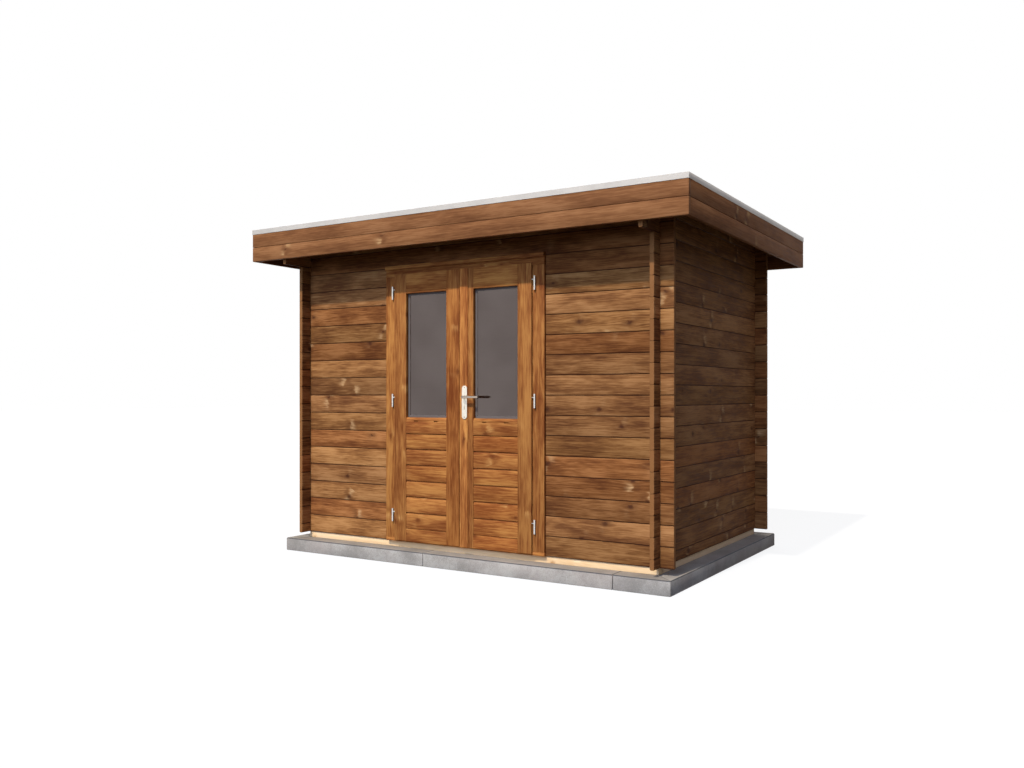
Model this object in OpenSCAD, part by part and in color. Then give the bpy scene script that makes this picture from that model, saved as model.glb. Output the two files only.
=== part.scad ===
// Garden office pod: a flat-roofed cabin of interlocking log boards with
// glazed double doors, standing on bearers and a kerb of concrete blocks.
// Millimetres. X runs along the front to the right, Y to the back, Z up.
// The origin is on the ground, in the middle of the plan.

/* [Log walls] */
// Width over the outer faces of the side walls
house_w = 2820; // [2400:10:3600]
// Depth over the outer faces of the front and back walls
house_d = 1900; // [1500:10:2600]
// Height that one log board adds to a wall
board_pitch = 127; // [120:1:140]
// Number of boards over the door in the front wall
head_boards = 2; // [1:1:5]
// Thickness of the log boards
board_t = 28; // [22:1:45]
// Reach of the log ends past the walls that they cross
log_end = 88; // [60:1:140]
// Width of the V joint between two boards
joint_w = 7; // [3:0.5:12]
// Depth of the V joint
joint_d = 3.5; // [1:0.5:6]

/* [Base] */
// Height of the kerb blocks
kerb_h = 92; // [60:1:160]
// Width of the kerb blocks
kerb_w = 200; // [170:5:260]
// Reach of the kerb beyond the walls
kerb_out = 110; // [60:5:130]
// Chamfer along the top edges of the kerb
kerb_arris = 5; // [1:1:15]
// Open joint between two kerb blocks
kerb_joint = 4; // [2:1:12]
// Length of the block at the left end of the front kerb
kerb_first = 1270; // [800:10:1400]
// Length of the block at the right end of the front kerb
kerb_last = 365; // [300:5:800]
// Height of the bearers under the walls
bearer_h = 43; // [30:1:90]
// Width of the bearers
bearer_w = 70; // [50:1:75]
// Set-back of the bearers behind the outer faces of the walls
bearer_back = 12; // [4:1:14]
// Open joint at the ends of the side bearers
bearer_gap = 1; // [0.5:0.5:4]
// Number of floor joists between the bearers
floor_joists_n = 3; // [2:1:6]
// Thickness of the floor boards
floor_t = 18; // [15:1:22]
// Open joint round the edge of the floor
floor_gap = 2; // [1:1:10]

/* [Roof] */
// Reach of the roof beyond the side walls
roof_side_out = 284; // [200:1:360]
// Reach of the roof beyond the front and back walls
roof_end_out = 280; // [200:1:360]
// Thickness of the roof deck
deck_t = 18; // [15:1:24]
// Width of a roof joist
joist_w = 44; // [35:1:60]
// Height of a roof joist
joist_h = 95; // [70:1:110]
// Number of roof joists
joist_n = 4; // [2:1:7]
// Thickness of the fascia boards
fascia_t = 28; // [18:1:40]
// Height of one fascia board
fascia_board_h = 102; // [80:1:130]
// Shadow joint between the two fascia boards
fascia_joint = 2; // [1:0.5:5]
// Rise of the fascia above the roof deck
fascia_rise = 33; // [20:1:60]
// Width of the edge battens on the deck
batten_w = 45; // [30:1:70]
// Thickness of the roof membrane
membrane_t = 2; // [1:0.5:4]
// Wall thickness of the roof edge trim
trim_t = 2.5; // [1.5:0.5:4]
// Lap of the trim over the fascia
trim_lap = 7; // [4:1:30]
// Rise of the trim above the fascia
trim_rise = 27; // [15:1:50]
// Width of the bead of the trim, behind the fascia face
trim_bead = 14; // [8:1:24]
// Width of the flange of the trim on the membrane
trim_flange = 46; // [30:1:70]
// Open joint at the mitres of the trim
trim_joint = 0.6; // [0.4:0.1:2]

/* [Door frame] */
// Width over the outside of the frame
frame_w = 1280; // [1140:10:1500]
// Height of the frame above the foot of the walls
frame_h = 1885; // [1780:5:2200]
// Gap between the frame and the boards over it, behind the drip cap
head_gap = 20; // [10:1:30]
// How far the frame stands proud of the wall on each side
frame_proud = 19; // [10:1:30]
// Lap of the frame over the wall boards
frame_lap = 40; // [20:1:60]
// Width of a jamb from its outer edge to the opening
jamb_w = 100; // [80:1:130]
// Height of the head outside
head_h = 41; // [30:1:70]
// Height of the sill
sill_h = 24; // [20:1:45]
// Width of the stop behind the leaves
stop_w = 12; // [8:1:20]
// Height of the drip cap over the frame
drip_h = 42; // [25:1:60]
// Reach of the drip cap in front of the wall
drip_out = 32; // [24:1:60]
// Height of the shadow step under the drip cap
drip_step = 8; // [3:1:12]

/* [Door leaves] */
// Thickness of a leaf
leaf_t = 40; // [34:1:50]
// Thickness of the lip that laps over the frame
lip_t = 10; // [8:1:14]
// Lap of the lip over the frame
lip_lap = 14; // [8:1:16]
// Clearance between a leaf and the frame
leaf_gap = 5; // [5:0.5:8]
// Gap between the two leaves
meeting_gap = 8; // [7:0.5:12]
// Width of a hinge stile
hinge_stile_w = 103; // [80:1:130]
// Width of a lock stile
lock_stile_w = 106; // [80:1:130]
// Height of the top rail
top_rail_h = 137; // [90:1:180]
// Height of the lock rail
lock_rail_h = 110; // [80:1:140]
// Height of the bottom rail
bottom_rail_h = 86; // [70:1:140]
// Height of the glass above the foot of the leaf
glass_foot = 855; // [700:5:1100]
// Thickness of the glass
glass_t = 4; // [3:0.5:8]
// Depth of the glass behind the face of the leaf
glass_depth = 26; // [18:1:28]
// Depth of the groove that holds the glass
glass_seat = 10; // [6:1:16]
// Clearance of the glass in its groove
glass_play = 0.3; // [0.2:0.1:1]
// Number of boards in the lower panel
panel_boards = 6; // [3:1:9]
// Set-back of the panel boards behind the face of the leaf
panel_back = 3; // [1:1:10]
// Thickness of the panel boards
panel_t = 20; // [14:1:24]
// Height of the sloped top edge of a panel board
panel_slope_h = 11; // [5:1:20]
// Depth of the joint between two panel boards
panel_joint_d = 8; // [2:1:10]
// Width of the open joint between two panel boards
panel_joint_w = 4; // [1:0.5:6]
// Height of the sloped front edge of the lock rail, under the glass
rail_slope_h = 14; // [6:1:20]
// Depth of the sloped front edge of the lock rail
rail_slope_d = 10; // [5:1:16]
// Length of a drain slot in the lock rail
drain_w = 36; // [20:1:60]
// Height of a drain slot
drain_h = 8; // [5:1:12]
// Depth of a drain slot
drain_depth = 12; // [6:1:15]
// Distance of the drain slots below the glass
drain_below = 26; // [24:1:60]
// Width of the cover strip on the right leaf
strip_w = 66; // [64:1:90]
// Thickness of the cover strip
strip_t = 8; // [7:1:20]
// Round of the long edges of the cover strip
strip_round = 4; // [1:0.5:6]

/* [Door fittings] */
// Diameter of a hinge barrel
barrel_d = 12; // [11:0.5:16]
// Length of a hinge barrel
barrel_l = 90; // [60:1:120]
// Distance of the hinge axis from the edge of the leaf
hinge_out = 20; // [14:0.5:26]
// Diameter of the hinge pin
pin_d = 6; // [5:0.5:7]
// Length of the hinge pin above the lower half of the barrel
pin_l = 30; // [20:1:40]
// Running clearance of the hinge
hinge_play = 0.3; // [0.2:0.1:0.6]
// Diameter of the stems that hold the barrel
stem_d = 6; // [5:0.5:8]
// Height of the low hinge above the foot of the leaf
hinge_low = 173; // [120:1:260]
// Height of the middle hinge above the foot of the leaf
hinge_mid = 971; // [800:1:1100]
// Distance of the high hinge below the top of the leaf
hinge_high = 128; // [90:1:260]
// Distance of the lever axis from the meeting edge of the leaf
lever_in = 44; // [28:1:46]
// Height of the lever above the foot of the walls
lever_z = 1006; // [920:1:1090]
// Width of a handle plate
plate_w = 40; // [30:1:44]
// Height of a handle plate
plate_h = 221; // [180:1:260]
// Thickness of a handle plate
plate_t = 6; // [4:1:12]
// Height of the plate above the lever axis
plate_above = 75; // [60:1:100]
// Diameter of the spindle
spindle_d = 9; // [8:0.5:12]
// Running clearance of the spindle
spindle_play = 0.3; // [0.2:0.1:0.6]
// Diameter of the neck of the lever
neck_d = 18; // [14:1:22]
// Reach of the lever in front of its plate
lever_out = 34; // [28:1:60]
// Length of the lever from its axis
lever_l = 130; // [90:1:140]
// Diameter of the lever
lever_d = 17; // [12:1:20]
// Width of the key slot
key_w = 9; // [6:1:12]
// Height of the key slot
key_h = 30; // [20:1:40]
// Distance of the key slot below the lever axis
key_below = 72; // [60:1:90]

/* [Hidden] */
$fn = 48;
half_w = house_w / 2;
half_d = house_d / 2;
front_y = -half_d;
inside_y = front_y + board_t;
wall_z = kerb_h + bearer_h;
rows_by_door = round((frame_h + head_gap) / board_pitch);
board_count = rows_by_door + head_boards;
wall_top = wall_z + board_count * board_pitch;
tooth_h = board_pitch / 2;
log_x = half_w + log_end;
log_y = half_d + log_end;
top_logs_z = wall_z + (board_count - 1.5) * board_pitch;
floor_z = wall_z + floor_t;
bearer_in = bearer_back + bearer_w;
kerb_x = half_w + kerb_out;
kerb_y = half_d + kerb_out;

fascia_x = half_w + roof_side_out;
fascia_y = half_d + roof_end_out;
deck_x = fascia_x - fascia_t;
deck_y = fascia_y - fascia_t;
deck_top = wall_top + deck_t;
fascia_top = deck_top + fascia_rise;
fascia_z = fascia_top - 2 * fascia_board_h - fascia_joint;
joist_z = wall_top - joist_h;
joist_step = (house_w - 2 * board_t) / (joist_n + 1);

opening_x = frame_w / 2 - jamb_w;
wall_end_x = frame_w / 2 - frame_lap;
frame_y = front_y - frame_proud;
frame_back_y = inside_y + frame_proud;
frame_top = wall_z + frame_h;
head_z = frame_top - head_h;
sill_z = wall_z + sill_h;
lintel_z = frame_top + head_gap;

lip_x = opening_x + lip_lap;
body_x = opening_x - leaf_gap;
lip_y = frame_y - leaf_gap;
leaf_y = lip_y - lip_t;
leaf_back_y = leaf_y + leaf_t;
stop_y = leaf_back_y + leaf_gap;
leaf_z = sill_z - lip_lap;
leaf_top = head_z + lip_lap;
body_z = sill_z + leaf_gap;
body_top = head_z - leaf_gap;
meeting_x = meeting_gap / 2;
glass_x0 = meeting_x + lock_stile_w;
glass_x1 = lip_x - hinge_stile_w;
glass_z0 = leaf_z + glass_foot;
glass_z1 = leaf_top - top_rail_h;
glass_y = leaf_y + glass_depth;
panel_z0 = leaf_z + bottom_rail_h;
panel_z1 = glass_z0 - lock_rail_h;
panel_y = leaf_y + panel_back;
drain_places = [for (share = [0.25, 0.75]) -glass_x1 + share * (glass_x1 - glass_x0)];

hinge_x = lip_x + hinge_out;
hinge_y = leaf_y + lip_t / 2;
hinge_heights = [leaf_z + hinge_low, leaf_z + hinge_mid, leaf_top - hinge_high];
lever_x = meeting_x + lever_in;
lever_height = wall_z + lever_z;
strip_y = leaf_y - strip_t;
plate_front_y = strip_y - plate_t;
plate_back_y = leaf_back_y + plate_t;
lever_front_y = plate_front_y - lever_out;
lever_back_y = plate_back_y + lever_out;
spindle_hole_d = spindle_d + 2 * spindle_play;

// Spare length of a cutting tool beyond the faces that it cuts
cut = 1;

// Shared shapes

// Box between two corners
module block(low, high) {
  translate(low) cube(high - low);
}

// Outline drawn in Y and Z, drawn out along X
module along_x(x0, x1) {
  translate([x0, 0, 0]) rotate([90, 0, 90]) linear_extrude(x1 - x0) children();
}

// Outline drawn in X and Z, drawn out along Y
module along_y(y0, y1) {
  translate([0, y1, 0]) rotate([90, 0, 0]) linear_extrude(y1 - y0) children();
}

// Round bar along X
module bar_x(x0, x1, y, z, d) {
  translate([x0, y, z]) rotate([0, 90, 0]) cylinder(h = x1 - x0, d = d);
}

// Round bar along Y
module bar_y(x, y0, y1, z, d) {
  translate([x, y0, z]) rotate([-90, 0, 0]) cylinder(h = y1 - y0, d = d);
}

// Right-hand copy of a left-hand shape, or the shape itself
module on_side(side) {
  mirror([side > 0 ? 1 : 0, 0, 0]) children();
}

// Log walls

// Heights of the joints in a stack of boards; shift is 0 or half a board
function joint_heights(bottom, top, shift) = [
  for (k = [0 : board_count])
    let (z = wall_z + (k + shift) * board_pitch)
      if (z > bottom + joint_w && z < top - joint_w) z
];

// One face of a stack of boards, from its foot up, with its V joints
function stack_face(bottom, top, shift) = concat(
  [[joint_d, bottom], [0, bottom + joint_w / 2]],
  [for (z = joint_heights(bottom, top, shift))
    each [[0, z - joint_w / 2], [joint_d, z], [0, z + joint_w / 2]]],
  [[0, top - joint_w / 2], [joint_d, top]]
);

// Section through a stack of boards; depth counts from the outer face
function stack_outline(bottom, top, shift) =
  let (face = stack_face(bottom, top, shift), last = len(face) - 1)
    concat(face, [for (i = [last : -1 : 0]) [board_t - face[i][0], face[i][1]]]);

// Stretch of the front wall, or of the back wall
module end_wall(x0, x1, bottom, top, is_back) {
  turn = is_back ? -1 : 1;
  difference() {
    along_x(x0, x1)
      polygon([for (p = stack_outline(bottom, top, 0)) [turn * (front_y + p[0]), p[1]]]);
    side_wall_teeth();
    roof_joist_pockets();
  }
}

// Stretch of the left wall
module side_wall(reach, bottom, top) {
  difference() {
    along_y(-reach, reach)
      polygon([for (p = stack_outline(bottom, top, 0.5)) [p[0] - half_w, p[1]]]);
    end_wall_teeth();
  }
}

// Space that the side walls take in the crossings, as teeth half a board high
module side_wall_teeth() {
  for (x = [-half_w, half_w - board_t], k = [0 : board_count])
    translate([x, -house_d, wall_z + k * board_pitch - tooth_h / 2])
      cube([board_t, 2 * house_d, tooth_h]);
}

// Space that the front and back walls take in the crossings
module end_wall_teeth() {
  for (y = [-half_d, half_d - board_t], k = [0 : board_count - 1])
    translate([-house_w, y, wall_z + (k + 0.5) * board_pitch - tooth_h / 2])
      cube([2 * house_w, board_t, tooth_h]);
}

// Pockets for the roof joists in the tops of the front and back walls
module roof_joist_pockets() {
  for (x = joist_places())
    translate([x - joist_w / 2, -house_d, joist_z]) cube([joist_w, 2 * house_d, joist_h + cut]);
}

function joist_places() = [for (k = [1 : joist_n]) k * joist_step - half_w + board_t];

module wall_colour() {
  color([0.44, 0.29, 0.17]) children();
}

module front_wall_left() {
  wall_colour() end_wall(-log_x, -wall_end_x, wall_z, lintel_z, false);
}

module front_wall_right() {
  wall_colour() end_wall(wall_end_x, log_x, wall_z, lintel_z, false);
}

module front_wall_top() {
  wall_colour() end_wall(-log_x, log_x, lintel_z, wall_top, false);
}

module back_wall() {
  wall_colour() end_wall(-log_x, log_x, wall_z, wall_top, true);
}

module left_wall() {
  wall_colour() side_wall(log_y, wall_z, top_logs_z);
}

module right_wall() {
  wall_colour() on_side(1) side_wall(log_y, wall_z, top_logs_z);
}

// The top boards of a side wall run on under the eaves, to the fascia
module left_top_logs() {
  wall_colour() side_wall(deck_y, top_logs_z, wall_top);
}

module right_top_logs() {
  wall_colour() on_side(1) side_wall(deck_y, top_logs_z, wall_top);
}

// Base

// Section of the front kerb in Y and Z, with its outer face at y
module kerb_section(y) {
  polygon([
    [y, 0], [y, kerb_h - kerb_arris], [y + kerb_arris, kerb_h],
    [y + kerb_w - kerb_arris, kerb_h], [y + kerb_w, kerb_h - kerb_arris], [y + kerb_w, 0]
  ]);
}

// Side of the kerb ring with mitred ends; reach is half its length
module kerb_side(reach, y) {
  intersection() {
    along_x(-reach, reach) kerb_section(-y);
    linear_extrude(kerb_h)
      polygon([[-reach, -y], [reach, -y], [reach - kerb_w, kerb_w - y], [kerb_w - reach, kerb_w - y]]);
  }
}

// Long kerb of three blocks, parted by open joints
module long_kerb() {
  difference() {
    kerb_side(kerb_x, kerb_y);
    for (x = [kerb_first - kerb_x, kerb_x - kerb_last])
      translate([x - kerb_joint / 2, -kerb_y - cut, -cut])
        cube([kerb_joint, kerb_w + 2 * cut, kerb_h + 2 * cut]);
  }
}

module kerb_colour() {
  color([0.66, 0.66, 0.65]) children();
}

module front_kerb() {
  kerb_colour() long_kerb();
}

module back_kerb() {
  kerb_colour() rotate([0, 0, 180]) long_kerb();
}

module left_kerb() {
  kerb_colour() rotate([0, 0, -90]) kerb_side(kerb_y, kerb_x);
}

module right_kerb() {
  kerb_colour() rotate([0, 0, 90]) kerb_side(kerb_y, kerb_x);
}

// Ring of bearers: long ones under the front and back walls, short ones between
module bearers() {
  long_x = half_w - bearer_back;
  out_y = half_d - bearer_back;
  in_x = half_w - bearer_in;
  in_y = half_d - bearer_in;
  color([0.86, 0.75, 0.55]) {
    for (y = [-out_y, in_y])
      translate([-long_x, y, kerb_h]) cube([2 * long_x, bearer_w, bearer_h]);
    for (x = [-long_x, in_x])
      translate([x, bearer_gap - in_y, kerb_h]) cube([bearer_w, 2 * (in_y - bearer_gap), bearer_h]);
  }
}

// Joists that carry the middle of the floor between the long bearers
module floor_joists() {
  in_y = half_d - bearer_in;
  step = house_w / (floor_joists_n + 1);
  color([0.82, 0.70, 0.50])
    for (k = [1 : floor_joists_n])
      translate([k * step - half_w - bearer_w / 2, -in_y, kerb_h])
        cube([bearer_w, 2 * in_y, bearer_h]);
}

// Floor inside the walls, cut back round the foot of the door frame
module floor_boards() {
  edge_x = half_w - board_t - floor_gap;
  edge_y = half_d - board_t - floor_gap;
  color([0.78, 0.63, 0.42])
    difference() {
      block([-edge_x, -edge_y, wall_z], [edge_x, edge_y, floor_z]);
      block(
        [-frame_w / 2 - floor_gap, front_y, wall_z - cut],
        [frame_w / 2 + floor_gap, frame_back_y + floor_gap, floor_z + cut]
      );
    }
}

// Roof

module roof_joists() {
  color([0.62, 0.47, 0.30])
    for (x = joist_places())
      block([x - joist_w / 2, -deck_y, joist_z], [x + joist_w / 2, deck_y, wall_top]);
}

module roof_deck() {
  color([0.55, 0.40, 0.25]) block([-deck_x, -deck_y, wall_top], [deck_x, deck_y, deck_top]);
}

// Battens on the edge of the deck that carry the edge of the membrane
module roof_edge_battens() {
  in_x = deck_x - batten_w;
  in_y = deck_y - batten_w - bearer_gap;
  color([0.60, 0.46, 0.30]) {
    for (y = [-deck_y, deck_y - batten_w])
      translate([-deck_x, y, deck_top]) cube([2 * deck_x, batten_w, fascia_rise]);
    for (x = [-deck_x, in_x])
      translate([x, -in_y, deck_top]) cube([batten_w, 2 * in_y, fascia_rise]);
  }
}

// Membrane laid as a tray: over the deck, up the battens and over the fascia
module roof_membrane() {
  tray_x = deck_x - batten_w;
  tray_y = deck_y - batten_w;
  tray_top = fascia_top + membrane_t;
  color([0.16, 0.16, 0.17])
    difference() {
      union() {
        block([-tray_x, -tray_y, deck_top], [tray_x, tray_y, tray_top]);
        block([-fascia_x, -fascia_y, fascia_top], [fascia_x, fascia_y, tray_top]);
      }
      block(
        [membrane_t - tray_x, membrane_t - tray_y, deck_top + membrane_t],
        [tray_x - membrane_t, tray_y - membrane_t, tray_top + cut]
      );
    }
}

// Section of a fascia of two boards, in the depth from its face and Z
module fascia_section(face) {
  for (z = [fascia_z, fascia_top - fascia_board_h])
    translate([face, z]) square([fascia_t, fascia_board_h]);
}

module fascia_colour() {
  color([0.48, 0.30, 0.17]) children();
}

module front_fascia() {
  fascia_colour() along_x(-fascia_x, fascia_x) fascia_section(-fascia_y);
}

module back_fascia() {
  fascia_colour() along_x(-fascia_x, fascia_x) fascia_section(deck_y);
}

module left_fascia() {
  fascia_colour() along_y(-deck_y, deck_y) fascia_section(-fascia_x);
}

module right_fascia() {
  fascia_colour() along_y(-deck_y, deck_y) fascia_section(deck_x);
}

// Section of the roof edge trim: face, bead and flange, in the depth from the fascia face and Z
module trim_section() {
  foot = fascia_top - trim_lap;
  top = fascia_top + trim_rise;
  seat = fascia_top + membrane_t;
  polygon([
    [0, foot], [-trim_t, foot], [-trim_t, top], [trim_bead, top], [trim_bead, seat + trim_t],
    [trim_bead + trim_flange, seat + trim_t], [trim_bead + trim_flange, seat],
    [trim_bead - trim_t, seat], [trim_bead - trim_t, top - trim_t], [0, top - trim_t]
  ]);
}

// One side of the trim with mitred ends; reach is half its length over the fascia
module trim_side(reach, y) {
  width = trim_t + trim_bead + trim_flange;
  outer = reach + trim_t - trim_joint;
  intersection() {
    along_x(-reach - trim_t, reach + trim_t) translate([-y, 0]) trim_section();
    translate([0, 0, fascia_z])
      linear_extrude(2 * fascia_top)
        polygon([
          [-outer, -y - trim_t], [outer, -y - trim_t],
          [outer - width, width - y - trim_t], [width - outer, width - y - trim_t]
        ]);
  }
}

module roof_edge_trim() {
  color([0.82, 0.81, 0.79]) {
    for (turn = [0, 180]) {
      rotate([0, 0, turn]) trim_side(fascia_x, fascia_y);
      rotate([0, 0, turn + 90]) trim_side(fascia_y, fascia_x);
    }
  }
}

// Door frame

module frame_colour() {
  color([0.66, 0.42, 0.22]) children();
}

// Plan of the left jamb: casing, slot for the wall boards, web and stop
module jamb_plan() {
  edge = -frame_w / 2;
  polygon([
    [edge, frame_y], [-opening_x, frame_y], [-opening_x, stop_y], [stop_w - opening_x, stop_y],
    [stop_w - opening_x, frame_back_y], [edge, frame_back_y], [edge, inside_y],
    [-wall_end_x, inside_y], [-wall_end_x, front_y], [edge, front_y]
  ]);
}

module jamb() {
  translate([0, 0, sill_z]) linear_extrude(head_z - sill_z) jamb_plan();
}

module door_jamb_left() {
  frame_colour() jamb();
}

module door_jamb_right() {
  frame_colour() on_side(1) jamb();
}

// Slots at the ends of the head and sill, round the wall boards
module wall_slots(z0, z1) {
  for (side = [-1, 1])
    on_side(side)
      block([-frame_w / 2 - cut, front_y, z0 - cut], [-wall_end_x, inside_y, z1 + cut]);
}

module door_head() {
  inner_top = lintel_z + frame_lap;
  frame_colour() {
    difference() {
      along_x(-frame_w / 2, frame_w / 2)
        polygon([
          [frame_y, head_z], [frame_y, frame_top], [front_y, frame_top], [front_y, lintel_z],
          [inside_y, lintel_z], [inside_y, inner_top], [frame_back_y, inner_top], [frame_back_y, head_z]
        ]);
      wall_slots(head_z, lintel_z - cut);
    }
    block([stop_w - opening_x, stop_y, head_z - stop_w], [opening_x - stop_w, frame_back_y, head_z + cut]);
  }
}

module door_sill() {
  frame_colour() {
    difference() {
      block([-frame_w / 2, frame_y, wall_z], [frame_w / 2, frame_back_y, sill_z]);
      wall_slots(wall_z, sill_z);
    }
    block([stop_w - opening_x, stop_y, sill_z - cut], [opening_x - stop_w, frame_back_y, sill_z + stop_w]);
  }
}

// Cap over the head with a sloped top and a shadow step under its nose
module door_drip_cap() {
  nose_y = front_y - drip_out;
  back_top = frame_top + drip_h;
  nose_top = back_top - drip_step;
  frame_colour()
    along_x(-frame_w / 2, frame_w / 2)
      polygon([
        [front_y, frame_top], [frame_y, frame_top], [frame_y, frame_top + drip_step],
        [nose_y, frame_top + drip_step], [nose_y, nose_top], [front_y, back_top]
      ]);
}

// Door leaves, drawn for the left leaf

module leaf_colour() {
  color([0.70, 0.46, 0.24]) children();
}

// Cuts behind the lip at the head and the foot of a leaf
module lip_cuts() {
  back_y = leaf_back_y + cut;
  block([-lip_x - cut, lip_y, leaf_z - cut], [0, back_y, body_z]);
  block([-lip_x - cut, lip_y, body_top], [0, back_y, leaf_top + cut]);
}

// Space of the glass in the grooves of the stiles and rails
module glass_space(play) {
  block(
    [-glass_x1 - glass_seat - play, glass_y - play, glass_z0 - glass_seat],
    [glass_seat + play - glass_x0, glass_y + glass_t + play, glass_z1 + glass_seat + play]
  );
}

module hinge_stile() {
  difference() {
    translate([0, 0, leaf_z])
      linear_extrude(leaf_top - leaf_z)
        polygon([
          [-lip_x, leaf_y], [-glass_x1, leaf_y], [-glass_x1, leaf_back_y],
          [-body_x, leaf_back_y], [-body_x, lip_y], [-lip_x, lip_y]
        ]);
    lip_cuts();
    glass_space(glass_play);
  }
}

module lock_stile() {
  difference() {
    block([-glass_x0, leaf_y, leaf_z], [-meeting_x, leaf_back_y, leaf_top]);
    lip_cuts();
    glass_space(glass_play);
  }
}

module rails() {
  difference() {
    for (span = [[leaf_z, panel_z0], [panel_z1, glass_z0], [glass_z1, leaf_top]])
      block([-glass_x1, leaf_y, span[0]], [-glass_x0, leaf_back_y, span[1]]);
    lip_cuts();
    glass_space(glass_play);
    rail_slope();
    for (x = drain_places)
      drain_slot(x);
  }
}

// Wedge that the lock rail loses along its upper front edge, so that rain runs off
module rail_slope() {
  along_x(-glass_x1 - cut, cut - glass_x0)
    polygon([
      [leaf_y - cut, glass_z0 - rail_slope_h], [leaf_y, glass_z0 - rail_slope_h],
      [leaf_y + rail_slope_d, glass_z0], [leaf_y + rail_slope_d, glass_z0 + cut],
      [leaf_y - cut, glass_z0 + cut]
    ]);
}

// Slot with round ends in the face of the lock rail
module drain_slot(x) {
  z = glass_z0 - drain_below;
  ends = (drain_w - drain_h) / 2;
  y0 = leaf_y - cut;
  y1 = leaf_y + drain_depth;
  for (end = [x - ends, x + ends])
    bar_y(end, y0, y1, z, drain_h);
  block([x - ends, y0, z - drain_h / 2], [x + ends, y1, z + drain_h / 2]);
}

// Stack of boards; each has a sloped top edge under the foot of the next
module panel() {
  pitch = (panel_z1 - panel_z0) / panel_boards;
  face = panel_y;
  groove = panel_y + panel_joint_d;
  back = panel_y + panel_t;
  along_x(-glass_x1, -glass_x0)
    polygon(concat(
      [[back, panel_z0], [groove, panel_z0], [groove, panel_z0 + panel_joint_w]],
      [for (k = [0 : panel_boards - 1])
        let (foot = panel_z0 + k * pitch + panel_joint_w, head = panel_z0 + (k + 1) * pitch)
          each [[face, foot], [face, head - panel_slope_h], [groove, head], [groove, head + panel_joint_w]]],
      [[back, panel_z1 + panel_joint_w]]
    ));
}

module panel_between_rails() {
  intersection() {
    panel();
    block([-glass_x1, leaf_y, panel_z0], [-glass_x0, leaf_back_y, panel_z1]);
  }
}

// Hinges, drawn for the left leaf

// Lower halves, held to the frame by a stem, each with the pin
module frame_halves() {
  for (z = hinge_heights) {
    translate([-hinge_x, hinge_y, z - barrel_l / 2]) cylinder(h = barrel_l / 2 - hinge_play, d = barrel_d);
    translate([-hinge_x, hinge_y, z - barrel_l / 4]) cylinder(h = barrel_l / 4 + pin_l, d = pin_d);
    bar_y(-hinge_x, hinge_y, frame_y, z - barrel_l / 4, stem_d);
  }
}

// Upper halves, held to the lip of the leaf by a stem, each with the bore for the pin
module leaf_halves() {
  for (z = hinge_heights)
    difference() {
      union() {
        translate([-hinge_x, hinge_y, z]) cylinder(h = barrel_l / 2, d = barrel_d);
        bar_x(-hinge_x, -lip_x, hinge_y, z + barrel_l / 4, stem_d);
      }
      translate([-hinge_x, hinge_y, z - cut])
        cylinder(h = pin_l + hinge_play + cut, d = pin_d + 2 * hinge_play);
    }
}

module steel_colour() {
  color([0.80, 0.80, 0.79]) children();
}

module frame_hinges() {
  steel_colour()
    for (side = [-1, 1])
      on_side(side) frame_halves();
}

// Left leaf

module left_door_hinge_stile() {
  leaf_colour() hinge_stile();
}

module left_door_lock_stile() {
  leaf_colour() lock_stile();
}

module left_door_rails() {
  leaf_colour() rails();
}

module left_door_panel() {
  leaf_colour() panel_between_rails();
}

module left_door_glass() {
  color([0.62, 0.68, 0.70, 0.5]) glass_space(0);
}

module left_door_hinges() {
  steel_colour() leaf_halves();
}

// Right leaf

module right_door_hinge_stile() {
  leaf_colour() on_side(1) hinge_stile();
}

// Lock stile with the bores for the spindle and the key
module right_door_lock_stile() {
  leaf_colour()
    difference() {
      on_side(1) lock_stile();
      spindle_hole();
      key_slot();
    }
}

module right_door_rails() {
  leaf_colour() on_side(1) rails();
}

module right_door_panel() {
  leaf_colour() on_side(1) panel_between_rails();
}

module right_door_glass() {
  color([0.62, 0.68, 0.70, 0.5]) on_side(1) glass_space(0);
}

module right_door_hinges() {
  steel_colour() on_side(1) leaf_halves();
}

// Strip along the meeting edge, with rounded front edges
module right_door_cover_strip() {
  edge = meeting_x + strip_w;
  leaf_colour()
    difference() {
      translate([0, 0, leaf_z])
        linear_extrude(leaf_top - leaf_z)
          union() {
            translate([meeting_x, strip_y + strip_round]) square([strip_w, strip_t - strip_round]);
            translate([meeting_x + strip_round, strip_y]) square([strip_w - 2 * strip_round, strip_t]);
            for (x = [meeting_x + strip_round, edge - strip_round])
              translate([x, strip_y + strip_round]) circle(r = strip_round);
          }
      spindle_hole();
      key_slot();
    }
}

// Handle

module spindle_hole() {
  bar_y(lever_x, plate_front_y - cut, plate_back_y + cut, lever_height, spindle_hole_d);
}

// Key slot with round ends, through the plates and the leaf
module key_slot() {
  middle = lever_height - key_below;
  ends = (key_h - key_w) / 2;
  y0 = plate_front_y - cut;
  y1 = plate_back_y + cut;
  for (z = [middle - ends, middle + ends])
    bar_y(lever_x, y0, y1, z, key_w);
  block([lever_x - key_w / 2, y0, middle - ends], [lever_x + key_w / 2, y1, middle + ends]);
}

// Long plate with round ends
module handle_plate(y0, y1) {
  top = lever_height + plate_above;
  low_end = top - plate_h + plate_w / 2;
  high_end = top - plate_w / 2;
  for (z = [low_end, high_end])
    bar_y(lever_x, y0, y1, z, plate_w);
  block([lever_x - plate_w / 2, y0, low_end], [lever_x + plate_w / 2, y1, high_end]);
}

module handle_plates() {
  color([0.90, 0.89, 0.85])
    difference() {
      union() {
        handle_plate(plate_front_y, strip_y);
        handle_plate(leaf_back_y, plate_back_y);
      }
      spindle_hole();
      key_slot();
    }
}

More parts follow.
